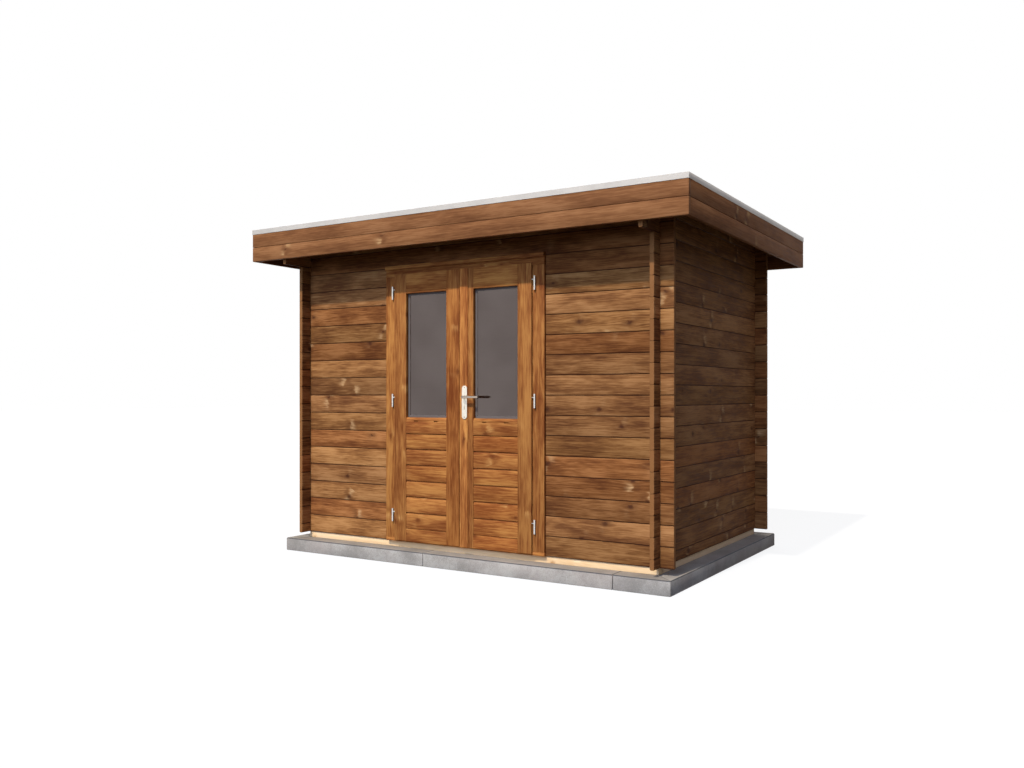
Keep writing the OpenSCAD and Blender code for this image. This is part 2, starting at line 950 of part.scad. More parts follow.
// Neck, elbow and arm of a lever; from is where the neck starts, axis the depth of the arm
module lever(from, axis) {
  tip = lever_x + lever_l - lever_d / 2;
  bar_y(lever_x, min(from, axis), max(from, axis), lever_height, neck_d);
  translate([lever_x, axis, lever_height]) sphere(d = neck_d);
  bar_x(lever_x, tip, axis, lever_height, lever_d);
  translate([tip, axis, lever_height]) sphere(d = lever_d);
}

// Both levers on their spindle
module lever_handle() {
  color([0.86, 0.86, 0.86])
    union() {
      bar_y(lever_x, lever_front_y, lever_back_y, lever_height, spindle_d);
      lever(plate_front_y - spindle_play, lever_front_y);
      lever(plate_back_y + spindle_play, lever_back_y);
    }
}

front_kerb();
back_kerb();
left_kerb();
right_kerb();
bearers();
floor_joists();
floor_boards();
front_wall_left();
front_wall_right();
front_wall_top();
back_wall();
left_wall();
right_wall();
left_top_logs();
right_top_logs();
roof_joists();
roof_deck();
roof_edge_battens();
roof_membrane();
front_fascia();
back_fascia();
left_fascia();
right_fascia();
roof_edge_trim();
door_jamb_left();
door_jamb_right();
door_head();
door_sill();
door_drip_cap();
frame_hinges();
left_door_hinge_stile();
left_door_lock_stile();
left_door_rails();
left_door_panel();
left_door_glass();
left_door_hinges();
right_door_hinge_stile();
right_door_lock_stile();
right_door_rails();
right_door_panel();
right_door_glass();
right_door_hinges();
right_door_cover_strip();
handle_plates();
lever_handle();
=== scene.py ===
import math
import random

import bmesh
import bpy
from mathutils import Matrix, Vector


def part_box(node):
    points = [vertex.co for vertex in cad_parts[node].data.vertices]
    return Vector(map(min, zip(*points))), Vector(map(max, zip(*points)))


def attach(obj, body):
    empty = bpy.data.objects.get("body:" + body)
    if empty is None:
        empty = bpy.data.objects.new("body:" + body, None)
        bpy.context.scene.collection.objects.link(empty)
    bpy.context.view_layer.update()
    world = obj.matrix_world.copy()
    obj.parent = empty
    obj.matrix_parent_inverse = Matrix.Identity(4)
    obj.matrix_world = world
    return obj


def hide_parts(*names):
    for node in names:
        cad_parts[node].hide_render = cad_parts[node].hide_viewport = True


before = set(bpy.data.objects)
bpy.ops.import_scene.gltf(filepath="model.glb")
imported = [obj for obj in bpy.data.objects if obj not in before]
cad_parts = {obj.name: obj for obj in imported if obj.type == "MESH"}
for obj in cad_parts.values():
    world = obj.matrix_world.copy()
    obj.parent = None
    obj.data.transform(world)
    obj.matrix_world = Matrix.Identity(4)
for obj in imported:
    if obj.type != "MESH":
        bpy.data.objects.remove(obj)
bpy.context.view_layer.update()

# Garden office pod: a flat-roofed cabin of stained log boards with glazed double doors.
# Metres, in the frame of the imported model: X along the front, Y to the back, Z up.

# Log boards
BOARD_PITCH = 0.127
TOP_ROUND = 0.003
FOOT_ROUND = 0.0075
END_ROUND = 0.002

# Floor and roof boards
FLOOR_BOARDS = 16
DECK_BOARDS = 21
BOARD_GAP = 0.0012

# Softened edges of the other pieces
SAWN_EDGE = 0.0014
PLANED_EDGE = 0.0022
KERB_EDGE = 0.003
METAL_EDGE = 0.0007
CUT_EDGE = 0.0008
BOARD_ROUND = 0.0016

# Angles in degrees: under the first a CAD face is flat, over the others an edge is softened or shaded sharp
FLAT_ANGLE = 1.0
SHARP_ANGLE = 28.0
SMOOTH_ANGLE = 34.0

# Points of a CAD node that lie closer than this are one
MERGE_DISTANCE = 1e-5

# How far the grain is shifted from board to board
GRAIN_SHIFT = 40.0

# Seeds of the tones and grain of each row of boards
FRONT_SEEDS = {"front_wall_left": 3860, "front_wall_right": 576, "front_wall_top": 33}
BACK_SEED = 44
LEFT_SEED = 55
RIGHT_SEED = 1378
FLOOR_SEED = 77
DECK_SEED = 88
PANEL_SEEDS = {"left": 91, "right": 92}
SCREW_SEED = 5

# Patterns in the wood: scale along, across and through the grain, and how strongly each one shows
FIBRE_SCALE = (11.0, 190.0, 140.0)
LINE_SCALE = (3.2, 95.0, 60.0)
BAND_SCALE = (0.7, 22.0, 20.0)
CLOUD_SCALE = (2.4, 9.0, 1.0)
FIBRE_WEIGHT = 0.42
LINE_WEIGHT = 0.34
BAND_WEIGHT = 0.18
CLOUD_WEIGHT = 0.66

# Tints of the boards that are redder or more yellow than the others
HUE_TURNS = 7.31
RED_TINT = (0.98, 0.78, 0.64, 1.0)
YELLOW_TINT = (1.07, 1.08, 0.97, 1.0)

# Knots in the wood: one place in each cell of this length and width
KNOT_STEP = 0.46
KNOT_ROW = 0.12
KNOT_LEAST = 0.006
KNOT_GROWTH = 0.013
KNOT_RAGGED = (55.0, 80.0, 1.0)
HALO_REACH = (0.045, 0.018)

# Grain round a knot: how far it swerves, and the pale and dark flares where it slopes
SWERVE_REACH = (0.085, 0.032)
SWERVE = 0.85
FLARE_LONG = 0.030
FLARE_WIDE = 0.052
FLARE_STRENGTH = 5.5
WARP_X_SCALE = (13.0, 26.0, 1.0)
WARP_Y_SCALE = (15.0, 21.0, 1.0)
WARP_APART = 7.0
WARP_X = 0.09
WARP_Y = 0.06

# Growth rings on sawn ends
RING_STEP = 0.0042
RING_BEND = 0.012
RING_TURN = 25.0

# Tone of the upright door timbers: higher is paler, and the cover strip is much the palest
TONES = {"door_jamb_left": 0.25, "left_door_hinge_stile": 0.05, "left_door_lock_stile": 0.02,
         "right_door_cover_strip": 1.5, "right_door_lock_stile": -0.05, "right_door_hinge_stile": -0.06,
         "door_jamb_right": 0.05}

# Loose tongue in the joint between the two boards of each fascia
FASCIA_JOINT = 0.002
TONGUE_SET = 0.006
TONGUE_WIDTH = 0.012

# Door fittings
GLASS_SEAT = 0.010
SEAL_WIDTH = 0.0155
SEAL_DEPTH = 0.0006
SCREW_IN = 0.013
SCREW_RADIUS = 0.0036
SCREW_SIDES = 20
SCREW_PROFILE = ((1.0, 0.0), (1.0, 0.0002), (0.8, 0.0006), (0.4, 0.0009))
LEVER_PLAY = 0.0003
LEVER_BEND = 0.012
LEVER_TAPER = 0.94
BEND_STEPS = 8
KEY_BELOW = 0.072
CORE_SIZE = (0.0086, 0.0296)
SLIT_SIZE = (0.0018, 0.0090)
SLIT_DEPTH = 0.004

# Boards of the door panels: open joint and sloped top edge outside, V joint inside
PANEL_BOARDS = 6
PANEL_JOINT = 0.004
PANEL_JOINT_DEPTH = 0.008
PANEL_SLOPE = 0.011
PANEL_V = 0.003

# Camera and light
CAMERA_PLACE = (3.480, -5.954, 1.155)
CAMERA_TURN = 31.703
CAMERA_LENS = 32.0
CAMERA_SENSOR = 36.0
CAMERA_SHIFT = 0.0106
SUN_DIRECTION = (0.05, 1.0, -1.128)
SUN_STRENGTH = 3.5
SUN_ANGLE = 1.6
SUN_COLOUR = (1.0, 0.945, 0.85)
SKY_STRENGTH = 0.06
SKY_COLOUR = (0.92, 0.97, 1.0, 1.0)
WHITE = (1.0, 1.0, 1.0, 1.0)
FLOOR_BOUNCE = (0.02, 0.02, 0.02, 1.0)
FLOOR_DULL = (0.88, 0.88, 0.88, 1.0)
FLOOR_PALE = (0.92, 0.92, 0.92, 1.0)
FLOOR_GLOW = 0.86
FLOOR_REACH = 60.0
FLOOR_DROP = 0.001
# Soft light from the open sky on each side: direction, strength, angle and colour
FILLS = {"front_sky": ((0.0, 1.0, -0.45), 2.60, 50.0, (0.52, 0.67, 1.0)),
         "right_sky": ((-1.0, 0.2, -1.05), 0.56, 50.0, (0.64, 0.69, 1.08)),
         "back_sky": ((0.6, -1.0, -0.80), 2.00, 50.0, (1.0, 0.97, 0.92))}


# Materials


class Surface:
    """A material, with short ways to add nodes to its tree."""

    def __init__(self, name):
        self.material = bpy.data.materials.new(name)
        self.material.use_nodes = True
        self.tree = self.material.node_tree
        self.shader = self.tree.nodes["Principled BSDF"]

    def feed(self, socket, value):
        if isinstance(value, bpy.types.NodeSocket):
            self.tree.links.new(value, socket)
        else:
            socket.default_value = value

    def node(self, kind, inputs, **settings):
        made = self.tree.nodes.new(kind)
        for key, value in settings.items():
            setattr(made, key, value)
        for key, value in inputs.items():
            self.feed(made.inputs[key], value)
        return made

    def math(self, operation, *values):
        made = self.tree.nodes.new("ShaderNodeMath")
        made.operation = operation
        for socket, value in zip(made.inputs, values):
            self.feed(socket, value)
        return made.outputs[0]

    def add(self, a, b):
        return self.math("ADD", a, b)

    def times(self, a, b):
        return self.math("MULTIPLY", a, b)

    def split(self, vector):
        return self.node("ShaderNodeSeparateXYZ", {"Vector": vector}).outputs

    def join(self, x, y, z):
        return self.node("ShaderNodeCombineXYZ", {"X": x, "Y": y, "Z": z}).outputs[0]

    def attribute(self, name):
        return self.node("ShaderNodeAttribute", {}, attribute_name=name).outputs

    def place(self):
        return self.node("ShaderNodeTexCoord", {}).outputs["Object"]

    def noise(self, vector, scale=1.0, detail=3.0, roughness=0.55):
        inputs = {"Vector": vector, "Scale": scale, "Detail": detail, "Roughness": roughness}
        return self.node("ShaderNodeTexNoise", inputs).outputs[0]

    def spread(self, value, low, high, to_low=0.0, to_high=1.0):
        inputs = {"Value": value, "From Min": low, "From Max": high, "To Min": to_low, "To Max": to_high}
        return self.node("ShaderNodeMapRange", inputs, interpolation_type="SMOOTHSTEP").outputs[0]

    def mix(self, factor, a, b, blend="MIX"):
        made = self.tree.nodes.new("ShaderNodeMix")
        made.data_type = "RGBA"
        made.blend_type = blend
        for index, value in ((0, factor), (6, a), (7, b)):
            self.feed(made.inputs[index], value)
        return made.outputs[2]

    def ramp(self, factor, stops):
        made = self.node("ShaderNodeValToRGB", {"Fac": factor})
        elements = made.color_ramp.elements
        while len(elements) < len(stops):
            elements.new(0.5)
        for element, (position, colour) in zip(elements, stops):
            element.position = position
            element.color = colour
        return made.outputs[0]

    def bump(self, height, strength, distance):
        inputs = {"Height": height, "Strength": strength, "Distance": distance}
        self.feed(self.shader.inputs["Normal"], self.node("ShaderNodeBump", inputs).outputs[0])

    def finish(self, **inputs):
        for key, value in inputs.items():
            self.feed(self.shader.inputs[key.replace("_", " ")], value)
        return self.material


def rgb(red, green, blue):
    """Colour from the 0 to 255 values seen on a screen."""
    def linear(value):
        share = value / 255
        return share / 12.92 if share <= 0.04045 else ((share + 0.055) / 1.055) ** 2.4
    return (linear(red), linear(green), linear(blue), 1.0)


def knot_field(s, along, across, share):
    """Nearest knot: how far off along and across the grain, whether it is there, its size and its flare."""
    cell = s.join(s.times(along, 1 / KNOT_STEP), s.times(across, 1 / KNOT_ROW), 0.0)
    found = s.node("ShaderNodeTexVoronoi", {"Vector": cell, "Scale": 1.0}, voronoi_dimensions="2D").outputs
    x, y, _ = s.split(found["Position"])
    size, chance, flare = s.split(found["Color"])
    off_x = s.math("SUBTRACT", along, s.times(x, KNOT_STEP))
    off_y = s.math("SUBTRACT", across, s.times(y, KNOT_ROW))
    return off_x, off_y, s.math("LESS_THAN", chance, share), size, flare


def hill(s, x, y, reach_x, reach_y):
    """Falls off from 1 in the middle, within the two reaches."""
    part_x = s.math("POWER", s.math("ABSOLUTE", s.times(x, 1 / reach_x)), 2.0)
    part_y = s.math("POWER", s.math("ABSOLUTE", s.times(y, 1 / reach_y)), 2.0)
    return s.math("EXPONENT", s.times(s.add(part_x, part_y), -1.0))


def stretched(s, spot, scale, detail=3.0, roughness=0.55):
    """Noise that is drawn out along the grain."""
    parts = [s.times(part, share) for part, share in zip(spot, scale)]
    return s.noise(s.join(*parts), detail=detail, roughness=roughness)


def either_way(s, pattern):
    """A pattern that goes as far below zero as above it."""
    return s.add(pattern, -0.5)


def pine(name, shades, pale, knot, knot_share, contrast, tone, rough=0.62):
    """Pine that runs along the grain attribute of its piece, with a tone of its own for each board."""
    s = Surface(name)
    along, across, deep = s.split(s.attribute("grain")["Vector"])
    board = s.attribute("tone")["Fac"]
    off_x, off_y, real, size, flare = knot_field(s, along, across, knot_share)
    ragged = either_way(s, stretched(s, (along, across, deep), KNOT_RAGGED))

    # Fibres and growth lines bend round the knots; stain lies over them in bands and clouds
    swerve = s.times(real, hill(s, off_x, off_y, *SWERVE_REACH))
    bent = s.math("SUBTRACT", across, s.times(s.times(off_y, swerve), SWERVE))
    fibres = stretched(s, (along, bent, deep), FIBRE_SCALE)
    lines = stretched(s, (along, bent, deep), LINE_SCALE)
    bands = stretched(s, (along, bent, deep), BAND_SCALE, detail=2.0)
    clouds = stretched(s, (along, across, deep), CLOUD_SCALE, detail=4.0, roughness=0.58)
    level = 0.5
    for pattern, weight in ((fibres, FIBRE_WEIGHT), (lines, LINE_WEIGHT), (bands, BAND_WEIGHT),
                            (clouds, CLOUD_WEIGHT)):
        level = s.add(level, s.times(either_way(s, pattern), weight * contrast))
    dark, middle, light = shades
    colour = s.ramp(s.spread(level, 0.32, 0.68), ((0.0, dark), (0.5, middle), (1.0, light)))

    # Tone of the board: some are redder, some more yellow, some darker
    hue = s.math("FRACT", s.times(board, HUE_TURNS))
    colour = s.mix(s.spread(hue, 0.34, 0.16, 0.0, tone * 3.0), colour, RED_TINT, "MULTIPLY")
    colour = s.mix(s.spread(hue, 0.60, 0.80, 0.0, tone * 3.0), colour, YELLOW_TINT, "MULTIPLY")
    bright = s.add(s.times(board, 2.0 * tone), 1.0 - tone)
    grey = s.node("ShaderNodeCombineColor", {"Red": bright, "Green": bright, "Blue": bright}).outputs[0]
    colour = s.mix(1.0, colour, grey, "MULTIPLY")

    # Round a knot the grain slopes in and out, so that the wood shows pale on one side and dark on the other
    warp_x = either_way(s, stretched(s, (along, across, deep), WARP_X_SCALE, detail=5.0))
    warp_y = either_way(s, stretched(s, (along, across, s.add(deep, WARP_APART)), WARP_Y_SCALE))
    near_x = s.add(off_x, s.times(warp_x, WARP_X))
    near_y = s.add(off_y, s.times(warp_y, WARP_Y))
    slope = s.times(s.times(near_x, near_y), 1.0 / (FLARE_LONG * FLARE_WIDE))
    slope = s.times(slope, hill(s, near_x, near_y, FLARE_LONG, FLARE_WIDE))
    slope = s.times(slope, s.times(real, FLARE_STRENGTH))
    slope = s.times(slope, s.spread(flare, 0.35, 0.70, 0.1, 1.0))
    streaky = s.spread(s.add(s.times(fibres, 0.6), s.times(lines, 0.4)), 0.36, 0.62, 0.15, 0.85)
    paler = s.times(s.math("MINIMUM", s.math("MAXIMUM", slope, 0.0), 1.0), streaky)
    darker = s.math("MINIMUM", s.math("MAXIMUM", s.times(slope, -1.0), 0.0), 1.0)
    colour = s.mix(paler, colour, pale)
    colour = s.mix(s.times(darker, 0.5), colour, dark)
    halo = hill(s, near_x, s.add(off_y, s.times(ragged, 0.03)), *HALO_REACH)
    colour = s.mix(s.times(s.times(real, halo), 0.7), colour, dark)
    radius = s.add(s.times(size, KNOT_GROWTH), KNOT_LEAST)
    distance = s.math("SQRT", s.add(s.math("POWER", s.math("ABSOLUTE", s.times(off_x, 0.75)), 2.0),
                                    s.math("POWER", s.math("ABSOLUTE", off_y), 2.0)))
    rough_edge = s.add(distance, s.times(ragged, 0.024))
    core = s.times(real, s.spread(rough_edge, s.times(radius, 1.5), s.times(radius, 0.1)))
    colour = s.mix(s.times(core, 0.72), colour, knot)

    # Growth rings on the sawn ends of the logs, which take the stain evenly
    arc = s.add(deep, s.times(s.math("SINE", s.times(across, RING_TURN)), RING_BEND))
    rings = s.math("SINE", s.times(arc, 2 * math.pi / RING_STEP))
    sawn = s.mix(s.spread(rings, -0.4, 1.0, 0.0, 0.3), s.mix(0.25, middle, light), dark)
    colour = s.mix(s.times(s.attribute("end")["Fac"], 0.85), colour, sawn)

    # Darker colour in the joints between boards: stain that gathers there, and painted shade in the grooves
    # and on the rounded foot of each board
    colour = s.mix(s.times(s.attribute("joint")["Fac"], 0.8), colour, knot)

    height = s.math("SUBTRACT", s.add(s.times(fibres, 0.5), s.times(lines, 0.5)), s.times(core, 0.3))
    s.bump(height, 0.22, 0.0012)
    roughness = s.spread(fibres, 0.3, 0.7, rough - 0.08, rough + 0.1)
    return s.finish(Base_Color=colour, Roughness=roughness, Specular_IOR_Level=0.03)


def concrete():
    """Grey cast concrete with blotches and pores, darker and browner on its top face, and dark along its
    edges.
    """
    s = Surface("kerb_concrete")
    place = s.place()
    clouds = s.noise(place, 5.0, 5.0, 0.6)
    grains = s.noise(place, 160.0, 3.0, 0.7)
    warm = s.noise(place, 2.2, 2.0)
    pores = s.node("ShaderNodeTexVoronoi", {"Vector": place, "Scale": 95.0}).outputs["Distance"]
    pits = s.spread(pores, 0.22, 0.10)
    level = s.add(s.times(clouds, 0.65), s.times(grains, 0.35))
    colour = s.ramp(s.spread(level, 0.34, 0.66),
                    ((0.0, rgb(136, 129, 119)), (0.5, rgb(160, 152, 141)), (1.0, rgb(181, 173, 161))))
    colour = s.mix(s.spread(warm, 0.45, 0.7, 0.0, 0.35), colour, rgb(178, 162, 150))
    board = s.attribute("tone")["Fac"]
    colour = s.mix(s.spread(board, 0.0, 1.0, 0.0, 0.16), colour, rgb(120, 120, 122))
    colour = s.mix(s.times(pits, 0.5), colour, rgb(105, 105, 106))
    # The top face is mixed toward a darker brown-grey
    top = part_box("front_kerb")[1][2]
    top_darkening = s.spread(s.split(place)[2], top - 0.004, top - 0.001, 0.0, 0.45)
    colour = s.mix(top_darkening, colour, rgb(124, 114, 100))
    colour = s.mix(s.times(s.attribute("joint")["Fac"], 0.95), colour, rgb(62, 62, 64))
    s.bump(s.math("SUBTRACT", s.add(s.times(grains, 0.5), clouds), s.times(pits, 0.8)), 0.35, 0.0015)
    return s.finish(Base_Color=colour, Roughness=s.spread(grains, 0.3, 0.7, 0.82, 0.95),
                    Specular_IOR_Level=0.25)


def metal(name, colour, rough, metallic, grain_scale, stretch=(1.0, 1.0, 1.0)):
    """Metal with fine drawn lines or a fine cast skin."""
    s = Surface(name)
    x, y, z = s.split(s.place())
    lines = s.noise(s.join(s.times(x, stretch[0]), s.times(y, stretch[1]), s.times(z, stretch[2])),
                    grain_scale, 3.0)
    smudge = s.noise(s.place(), 14.0, 2.0)
    shade = s.spread(s.add(s.times(lines, 0.6), s.times(smudge, 0.4)), 0.3, 0.7)
    darker = tuple(0.86 * part for part in colour[:3]) + (1.0,)
    s.bump(lines, 0.06, 0.0004)
    return s.finish(Base_Color=s.mix(shade, darker, colour), Metallic=metallic,
                    Roughness=s.spread(lines, 0.3, 0.7, rough * 0.85, rough * 1.2))


def rubber(name, colour, pale, scale):
    """Dark sheet or seal with a dull, faintly dusty skin."""
    s = Surface(name)
    place = s.place()
    dust = s.noise(place, 1.7, 5.0, 0.6)
    skin = s.noise(place, scale, 2.0)
    s.bump(skin, 0.2, 0.0008)
    tinted = s.mix(s.spread(dust, 0.42, 0.72, 0.0, 0.6), colour, pale)
    return s.finish(Base_Color=tinted, Roughness=s.spread(skin, 0.3, 0.7, 0.62, 0.85))


def pane():
    """Tinted window glass that gives back the pale sky and lets a little of the room through."""
    s = Surface("door_pane")
    haze = s.noise(s.place(), 3.0, 2.0)
    colour = s.mix(s.spread(haze, 0.35, 0.65), rgb(111, 101, 98), rgb(117, 107, 104))
    alpha = s.spread(haze, 0.3, 0.7, 0.76, 0.80)
    return s.finish(Base_Color=colour, Metallic=1.0, Roughness=0.10, Alpha=alpha)


WALL_WOOD = pine("wall_boards", (rgb(92, 55, 31), rgb(130, 86, 49), rgb(160, 113, 70)),
                 pale=rgb(206, 164, 114), knot=rgb(58, 31, 22),
                 knot_share=0.42, contrast=1.0, tone=0.21)
FASCIA_WOOD = pine("fascia_boards", (rgb(98, 60, 36), rgb(126, 82, 50), rgb(148, 102, 66)),
                   pale=rgb(196, 154, 104), knot=rgb(66, 36, 24),
                   knot_share=0.16, contrast=0.75, tone=0.08)
DOOR_WOOD = pine("door_timber", (rgb(116, 62, 30), rgb(151, 93, 47), rgb(180, 121, 63)),
                 pale=rgb(200, 146, 84), knot=rgb(100, 52, 26),
                 knot_share=0.40, contrast=1.0, tone=0.12, rough=0.54)
BASE_WOOD = pine("bearer_timber", (rgb(219, 179, 131), rgb(234, 199, 151), rgb(240, 208, 165)),
                 pale=rgb(242, 210, 167), knot=rgb(164, 112, 66),
                 knot_share=0.15, contrast=0.6, tone=0.04)
FLOOR_WOOD = pine("floor_timber", (rgb(176, 134, 88), rgb(204, 164, 116), rgb(222, 188, 142)),
                  pale=rgb(234, 204, 160), knot=rgb(126, 82, 50),
                  knot_share=0.40, contrast=0.8, tone=0.10)
ROOF_WOOD = pine("roof_timber", (rgb(106, 70, 44), rgb(138, 96, 62), rgb(164, 122, 84)),
                 pale=rgb(206, 170, 126), knot=rgb(78, 44, 28),
                 knot_share=0.45, contrast=0.9, tone=0.16)
CONCRETE = concrete()
EDGE_METAL = metal("edge_trim", rgb(196, 187, 174), rough=0.5, metallic=0.2, grain_scale=3.0)
HINGE_METAL = metal("hinge_zinc", rgb(226, 224, 220), rough=0.30, metallic=0.9, grain_scale=220.0)
PLATE_METAL = metal("plate_nickel", rgb(236, 226, 206), rough=0.34, metallic=0.55, grain_scale=60.0,
                    stretch=(12.0, 1.0, 1.0))
# Chrome, darkened and warmed: a painted reflection of brown surroundings
LEVER_METAL = metal("lever_chrome", rgb(188, 176, 164), rough=0.18, metallic=1.0, grain_scale=90.0)
LOCK_METAL = metal("lock_nickel", rgb(216, 206, 188), rough=0.3, metallic=0.7, grain_scale=120.0)
SCREW_METAL = metal("fixing_steel", rgb(120, 100, 84), rough=0.45, metallic=0.7, grain_scale=300.0)
ROOF_SHEET = rubber("roof_sheet", rgb(52, 52, 54), pale=rgb(92, 90, 88), scale=240.0)
# Seal in the grey that the panes show: painted reflection
GLASS_SEAL = rubber("glass_seal", rgb(90, 80, 74), pale=rgb(98, 88, 82), scale=500.0)
PANE = pane()


# Mesh making


def piece(name, mesh, body, slot, *nodes):
    """Puts a mesh in the scene as a piece of a body, in place of CAD nodes."""
    made = bpy.data.objects.new(name, mesh)
    bpy.context.collection.objects.link(made)
    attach(made, body)
    if nodes:
        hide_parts(*nodes)
    return made


def smooth(mesh):
    """Shades a mesh smooth, except over its sharp edges."""
    for face in mesh.polygons:
        face.use_smooth = True
    mesh.set_sharp_from_angle(angle=math.radians(SMOOTH_ANGLE))


def mesh_from(bm, name, material):
    """Finished mesh of a bmesh, with its faces turned outwards."""
    bmesh.ops.recalc_face_normals(bm, faces=bm.faces)
    mesh = bpy.data.meshes.new(name)
    bm.to_mesh(mesh)
    bm.free()
    mesh.materials.append(material)
    smooth(mesh)
    return mesh


def rounded_section(low, high, top_round, foot_round, steps=3):
    """Outline of a rectangle with round corners, from two corners given in depth and height."""
    corners = ((high[0] - top_round, high[1] - top_round, top_round, 0),
               (low[0] + top_round, high[1] - top_round, top_round, 90),
               (low[0] + foot_round, low[1] + foot_round, foot_round, 180),
               (high[0] - foot_round, low[1] + foot_round, foot_round, 270))
    outline = []
    for depth, height, radius, start in corners:
        for step in range(steps + 1):
            turn = math.radians(start + 90 * step / steps)
            outline.append((depth + radius * math.cos(turn), height + radius * math.sin(turn)))
    return outline


def bridge(bm, rings):
    """Skins a closed body over a row of rings, and caps both ends."""
    for ring, after in zip(rings, rings[1:]):
        for i in range(len(ring)):
            j = (i + 1) % len(ring)
            bm.faces.new((ring[i], ring[j], after[j], after[i]))
    bm.faces.new(rings[0])
    bm.faces.new(list(reversed(rings[-1])))


def close_round(bm, rings):
    """Skins a body that closes on itself over a row of rings."""
    for ring, after in zip(rings, rings[1:] + rings[:1]):
        for i in range(len(ring)):
            j = (i + 1) % len(ring)
            bm.faces.new((ring[i], ring[j], after[j], after[i]))


def log_board(span, depth, height, axis, notches=()):
    """One log board with round edges. Each notch is (start, end, foot, top) of what stays of it there."""
    bm = bmesh.new()
    grain = bm.verts.layers.float_vector.new("grain")
    joint = bm.verts.layers.float.new("joint")
    sawn = bm.verts.layers.float.new("end")

    def ring(place, foot, top, inset):
        low = (depth[0] + inset, foot + inset)
        high = (depth[1] - inset, top - inset)
        made = []
        for deep, z in rounded_section(low, high, TOP_ROUND - inset * 0.5, FOOT_ROUND - inset * 0.5):
            spot = (place, deep, z) if axis == "X" else (deep, place, z)
            vert = bm.verts.new(spot)
            vert[grain] = (place, z, deep)
            # The foot rounding and the very top take the darker joint colour: joint stain and painted shade
            at_joint = z < foot + FOOT_ROUND * 0.6 or z > top - TOP_ROUND * 0.2
            vert[joint] = 1.0 if at_joint and not inset else 0.0
            vert[sawn] = 1.0 if inset else 0.0
            made.append(vert)
        return made

    foot, top = height
    rings = [ring(span[0], foot, top, END_ROUND), ring(span[0] + END_ROUND, foot, top, 0.0)]
    for start, end, notch_foot, notch_top in notches:
        rings.append(ring(start, foot, top, 0.0))
        rings.append(ring(start, notch_foot, notch_top, 0.0))
        rings.append(ring(end, notch_foot, notch_top, 0.0))
        rings.append(ring(end, foot, top, 0.0))
    rings.append(ring(span[1] - END_ROUND, foot, top, 0.0))
    rings.append(ring(span[1], foot, top, END_ROUND))
    bridge(bm, rings)
    return mesh_from(bm, "log_board", WALL_WOOD)


def flat_board(span, across, height, material):
    """One board that lies flat and runs along X, with softened edges."""
    bm = bmesh.new()
    grain = bm.verts.layers.float_vector.new("grain")
    rings = []
    start, end = span
    for place, inset in ((start, CUT_EDGE), (start + CUT_EDGE, 0.0), (end - CUT_EDGE, 0.0), (end, CUT_EDGE)):
        made = []
        low = (across[0] + inset, height[0] + inset)
        high = (across[1] - inset, height[1] - inset)
        for y, z in rounded_section(low, high, BOARD_ROUND, BOARD_ROUND, 2):
            vert = bm.verts.new((place, y, z))
            vert[grain] = (place, y, z)
            made.append(vert)
        rings.append(made)
    bridge(bm, rings)
    return mesh_from(bm, "flat_board", material)


def islands(bm):
    """Groups of vertices that hang together."""
    left = set(bm.verts)
    groups = []
    while left:
        group = []
        stack = [left.pop()]
        while stack:
            vert = stack.pop()
            group.append(vert)
            for edge in vert.link_edges:
                other = edge.other_vert(vert)
                if other in left:
                    left.remove(other)
                    stack.append(other)
        groups.append(group)
    groups.sort(key=lambda group: min((v.co.x, v.co.y, v.co.z) for v in group))
    return groups


def dressed(node, axes, material, body, slot, edge, shaded=None):
    """A copy of a CAD node with softened edges, grain along the first axis and a tone for each solid.

    Shaded tells which vertices lie in a dark joint.
    """
    bm = bmesh.new()
    bm.from_mesh(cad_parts[node].data)
    bmesh.ops.remove_doubles(bm, verts=bm.verts, dist=MERGE_DISTANCE)
    bmesh.ops.dissolve_limit(bm, angle_limit=math.radians(FLAT_ANGLE), verts=bm.verts, edges=bm.edges)
    sharp = [e for e in bm.edges if e.is_manifold and e.calc_face_angle(0.0) > math.radians(SHARP_ANGLE)]
    bmesh.ops.bevel(bm, geom=sharp, offset=edge, offset_type="OFFSET", segments=2, profile=0.5,
                    affect="EDGES", clamp_overlap=True)
    bm.normal_update()
    grain = bm.verts.layers.float_vector.new("grain")
    tone = bm.verts.layers.float.new("tone")
    joint = bm.verts.layers.float.new("joint")
    order = ["XYZ".index(axis) for axis in axes]
    chance = random.Random(node)
    for group in islands(bm):
        shade = TONES.get(node, chance.random())
        shift_along = chance.uniform(-GRAIN_SHIFT, GRAIN_SHIFT)
        shift_across = chance.uniform(-GRAIN_SHIFT, GRAIN_SHIFT)
        shift = Vector((shift_along, shift_across, 0.0))
        for vert in group:
            vert[tone] = shade
            vert[grain] = Vector(vert.co[k] for k in order) + shift
            vert[joint] = 1.0 if shaded and shaded(vert) else 0.0
    for layer in list(bm.loops.layers.uv):
        bm.loops.layers.uv.remove(layer)
    mesh = mesh_from(bm, node + "_shape", material)
    return piece(node + "_dressed", mesh, body, slot, node)


def on_slope(vert):
    """True for a vertex that only touches sloped faces."""
    return all(0.1 < abs(face.normal.z) < 0.97 for face in vert.link_faces)


# Geometry Nodes: a row of boards or fixings


